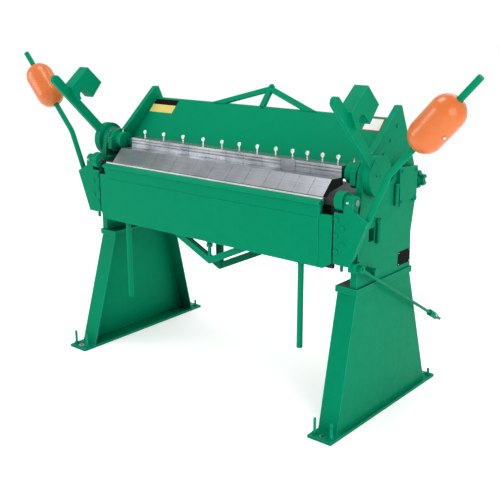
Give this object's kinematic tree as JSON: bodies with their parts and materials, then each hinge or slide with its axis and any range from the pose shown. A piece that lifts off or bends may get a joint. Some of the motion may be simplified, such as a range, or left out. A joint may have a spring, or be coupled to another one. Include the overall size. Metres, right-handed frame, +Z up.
{
  "type": "sheet metal brake",
  "caption": "Hand-operated box-and-pan sheet metal brake with separate finger dies, counterbalanced bending leaf and eccentric clamp handles on two channel legs",
  "frame": {"origin": "on the floor, midway between the four anchor holes of the feet", "axes": "+X along the bending edge to the operator's right, -Y towards the operator, +Z up"},
  "size_m": [2.4716, 0.9044, 1.4356],
  "materials": {
    "green_paint": "gloss hammered green paint",
    "orange_paint": "gloss orange paint",
    "bright_steel": "ground steel",
    "black_steel": "blackened steel"
  },
  "bodies": {
    "base": {"leg_left": "green_paint", "leg_right": "green_paint", "levelling_screws": "green_paint", "end_frame_left": "green_paint", "end_frame_right": "green_paint", "bed_beam": "green_paint", "bed_plate": "black_steel", "hinge_bracket_left": "green_paint", "hinge_bracket_right": "green_paint", "hinge_pins": "bright_steel"},
    "bending": {"bending_leaf": "green_paint", "nose_bar": "bright_steel", "wing_left": "green_paint", "wing_right": "green_paint", "wing_bolts": "green_paint", "pull_bar_left": "green_paint", "pull_bar_right": "green_paint", "leaf_truss": "green_paint", "balance_rod_left": "green_paint", "balance_rod_right": "green_paint"},
    "clamp_left": {"clamp_handle_left": "green_paint", "clamp_shaft_left": "bright_steel"},
    "clamp_right": {"clamp_handle_right": "green_paint", "clamp_shaft_right": "bright_steel"},
    "carriage": {"pivot_block_left": "green_paint", "pivot_block_right": "green_paint"},
    "adjuster_left": {"setback_screw_left": "green_paint"},
    "adjuster_right": {"setback_screw_right": "green_paint"},
    "top": {"top_leaf": "green_paint", "top_leaf_end_left": "green_paint", "top_leaf_end_right": "green_paint", "finger_bar": "green_paint"},
    "counterweight_left": {"weight_left": "orange_paint"},
    "counterweight_right": {"weight_right": "orange_paint"},
    "bend_stop": {"stop_rod": "green_paint", "stop_collar": "green_paint"},
    "die_01": {"finger_01": "bright_steel"},
    "thumb_01": {"finger_screw_01": "bright_steel"},
    "die_02": {"finger_02": "bright_steel"},
    "thumb_02": {"finger_screw_02": "bright_steel"},
    "die_03": {"finger_03": "bright_steel"},
    "thumb_03": {"finger_screw_03": "bright_steel"},
    "die_04": {"finger_04": "bright_steel"},
    "thumb_04": {"finger_screw_04": "bright_steel"},
    "die_05": {"finger_05": "bright_steel"},
    "thumb_05": {"finger_screw_05": "bright_steel"},
    "die_06": {"finger_06": "bright_steel"},
    "thumb_06": {"finger_screw_06": "bright_steel"},
    "die_07": {"finger_07": "bright_steel"},
    "thumb_07": {"finger_screw_07": "bright_steel"},
    "die_08": {"finger_08": "bright_steel"},
    "thumb_08": {"finger_screw_08": "bright_steel"},
    "die_09": {"finger_09": "bright_steel"},
    "thumb_09": {"finger_screw_09": "bright_steel"},
    "die_10": {"finger_10": "bright_steel"},
    "thumb_10": {"finger_screw_10": "bright_steel"},
    "die_11": {"finger_11": "bright_steel"},
    "thumb_11": {"finger_screw_11": "bright_steel"},
    "die_12": {"finger_12": "bright_steel"},
    "thumb_12": {"finger_screw_12": "bright_steel"}
  },
  "joints": [
    {"name": "apron_swing", "type": "hinge", "parent": "base", "child": "bending", "pos_m": [0, -0.252, 0.938], "axis": [1, 0, 0], "range_deg": [-135, 0]},
    {"name": "clamp_left_swing", "type": "hinge", "parent": "base", "child": "clamp_left", "pos_m": [-0.757, -0.123, 1.022], "axis": [-1, 0, 0], "range_deg": [0, 80]},
    {"name": "clamp_right_swing", "type": "hinge", "parent": "base", "child": "clamp_right", "pos_m": [0.757, -0.123, 1.022], "axis": [-1, 0, 0], "range_deg": [-0.5, 80.5]},
    {"name": "setback_slide", "type": "slide", "parent": "base", "child": "carriage", "axis": [0, 1, 0], "range_m": [-0.001, 0.007]},
    {"name": "leaf_lift", "type": "hinge", "parent": "carriage", "child": "top", "pos_m": [0, 0.15, 0.946], "axis": [-1, 0, 0], "range_deg": [-0.05, 2.85]},
    {"name": "weight_left_slide", "type": "slide", "parent": "bending", "child": "counterweight_left", "axis": [-0.667, 0, 0.745], "range_m": [-0.147, 0.075]},
    {"name": "weight_right_slide", "type": "slide", "parent": "bending", "child": "counterweight_right", "axis": [0.667, 0, 0.745], "range_m": [-0.128, 0.095]},
    {"name": "stop_swing", "type": "hinge", "parent": "bending", "child": "bend_stop", "pos_m": [0.7896, -0.24, 0.67725], "axis": [1, 0, 0], "range_deg": [-0.3, 106.21]},
    {"name": "setback_screw_left_turn", "type": "hinge", "parent": "base", "child": "adjuster_left", "pos_m": [-0.7366, 0.262, 0.946], "axis": [0, 1, 0], "range_deg": [-185, 1265]},
    {"name": "setback_screw_right_turn", "type": "hinge", "parent": "base", "child": "adjuster_right", "pos_m": [0.7366, 0.262, 0.946], "axis": [0, 1, 0], "range_deg": [-185, 1265]},
    {"name": "finger_01_slide", "type": "slide", "parent": "top", "child": "die_01", "axis": [-1, 0, 0], "range_m": [0, 0.024]},
    {"name": "finger_12_slide", "type": "slide", "parent": "top", "child": "die_12", "axis": [1, 0, 0], "range_m": [0, 0.024]},
    {"name": "finger_02_slide", "type": "slide", "parent": "top", "child": "die_02", "axis": [-1, 0, 0], "range_m": [-0.0002, 0.0202]},
    {"name": "finger_03_slide", "type": "slide", "parent": "top", "child": "die_03", "axis": [-1, 0, 0], "range_m": [-0.0002, 0.0162]},
    {"name": "finger_04_slide", "type": "slide", "parent": "top", "child": "die_04", "axis": [-1, 0, 0], "range_m": [-0.0002, 0.0122]},
    {"name": "finger_05_slide", "type": "slide", "parent": "top", "child": "die_05", "axis": [-1, 0, 0], "range_m": [-0.0002, 0.0082]},
    {"name": "finger_06_slide", "type": "slide", "parent": "top", "child": "die_06", "axis": [-1, 0, 0], "range_m": [-0.0002, 0.0042]},
    {"name": "finger_07_slide", "type": "slide", "parent": "top", "child": "die_07", "axis": [1, 0, 0], "range_m": [-0.0002, 0.0042]},
    {"name": "finger_08_slide", "type": "slide", "parent": "top", "child": "die_08", "axis": [1, 0, 0], "range_m": [-0.0002, 0.0082]},
    {"name": "finger_09_slide", "type": "slide", "parent": "top", "child": "die_09", "axis": [1, 0, 0], "range_m": [-0.0002, 0.0122]},
    {"name": "finger_10_slide", "type": "slide", "parent": "top", "child": "die_10", "axis": [1, 0, 0], "range_m": [-0.0002, 0.0162]},
    {"name": "finger_11_slide", "type": "slide", "parent": "top", "child": "die_11", "axis": [1, 0, 0], "range_m": [-0.0002, 0.0202]},
    {"name": "finger_screw_01_turn", "type": "hinge", "parent": "die_01", "child": "thumb_01", "pos_m": [-0.5461, -0.09085, 1.05], "axis": [0, 0, 1], "range_deg": [0, 720]},
    {"name": "finger_screw_02_turn", "type": "hinge", "parent": "die_02", "child": "thumb_02", "pos_m": [-0.4191, -0.09085, 1.05], "axis": [0, 0, 1], "range_deg": [0, 720]},
    {"name": "finger_screw_03_turn", "type": "hinge", "parent": "die_03", "child": "thumb_03", "pos_m": [-0.2921, -0.09085, 1.05], "axis": [0, 0, 1], "range_deg": [0, 720]},
    {"name": "finger_screw_04_turn", "type": "hinge", "parent": "die_04", "child": "thumb_04", "pos_m": [-0.1651, -0.09085, 1.05], "axis": [0, 0, 1], "range_deg": [0, 720]},
    {"name": "finger_screw_05_turn", "type": "hinge", "parent": "die_05", "child": "thumb_05", "pos_m": [-0.0508, -0.09085, 1.05], "axis": [0, 0, 1], "range_deg": [0, 720]},
    {"name": "finger_screw_06_turn", "type": "hinge", "parent": "die_06", "child": "thumb_06", "pos_m": [0.0508, -0.09085, 1.05], "axis": [0, 0, 1], "range_deg": [0, 720]},
    {"name": "finger_screw_07_turn", "type": "hinge", "parent": "die_07", "child": "thumb_07", "pos_m": [0.1524, -0.09085, 1.05], "axis": [0, 0, 1], "range_deg": [0, 720]},
    {"name": "finger_screw_08_turn", "type": "hinge", "parent": "die_08", "child": "thumb_08", "pos_m": [0.254, -0.09085, 1.05], "axis": [0, 0, 1], "range_deg": [0, 720]},
    {"name": "finger_screw_09_turn", "type": "hinge", "parent": "die_09", "child": "thumb_09", "pos_m": [0.3429, -0.09085, 1.05], "axis": [0, 0, 1], "range_deg": [0, 720]},
    {"name": "finger_screw_10_turn", "type": "hinge", "parent": "die_10", "child": "thumb_10", "pos_m": [0.4191, -0.09085, 1.05], "axis": [0, 0, 1], "range_deg": [0, 720]},
    {"name": "finger_screw_11_turn", "type": "hinge", "parent": "die_11", "child": "thumb_11", "pos_m": [0.4953, -0.09085, 1.05], "axis": [0, 0, 1], "range_deg": [0, 720]},
    {"name": "finger_screw_12_turn", "type": "hinge", "parent": "die_12", "child": "thumb_12", "pos_m": [0.5715, -0.09085, 1.05], "axis": [0, 0, 1], "range_deg": [0, 720]}
  ],
  "couplings": [
    {"joint": "clamp_right_swing", "follows": "clamp_left_swing", "ratio": 1},
    {"joint": "leaf_lift", "follows": "clamp_left_swing", "ratio": 0.035},
    {"joint": "stop_swing", "follows": "apron_swing", "ratio": -0.7845},
    {"joint": "setback_screw_left_turn", "follows": "setback_slide", "rad_per_m": 3141.6},
    {"joint": "setback_screw_right_turn", "follows": "setback_slide", "rad_per_m": 3141.6},
    {"joint": "finger_02_slide", "follows": "finger_01_slide", "ratio": 0.83333},
    {"joint": "finger_03_slide", "follows": "finger_01_slide", "ratio": 0.66667},
    {"joint": "finger_04_slide", "follows": "finger_01_slide", "ratio": 0.5},
    {"joint": "finger_05_slide", "follows": "finger_01_slide", "ratio": 0.33333},
    {"joint": "finger_06_slide", "follows": "finger_01_slide", "ratio": 0.16667},
    {"joint": "finger_07_slide", "follows": "finger_12_slide", "ratio": 0.16667},
    {"joint": "finger_08_slide", "follows": "finger_12_slide", "ratio": 0.33333},
    {"joint": "finger_09_slide", "follows": "finger_12_slide", "ratio": 0.5},
    {"joint": "finger_10_slide", "follows": "finger_12_slide", "ratio": 0.66667},
    {"joint": "finger_11_slide", "follows": "finger_12_slide", "ratio": 0.83333}
  ]
}
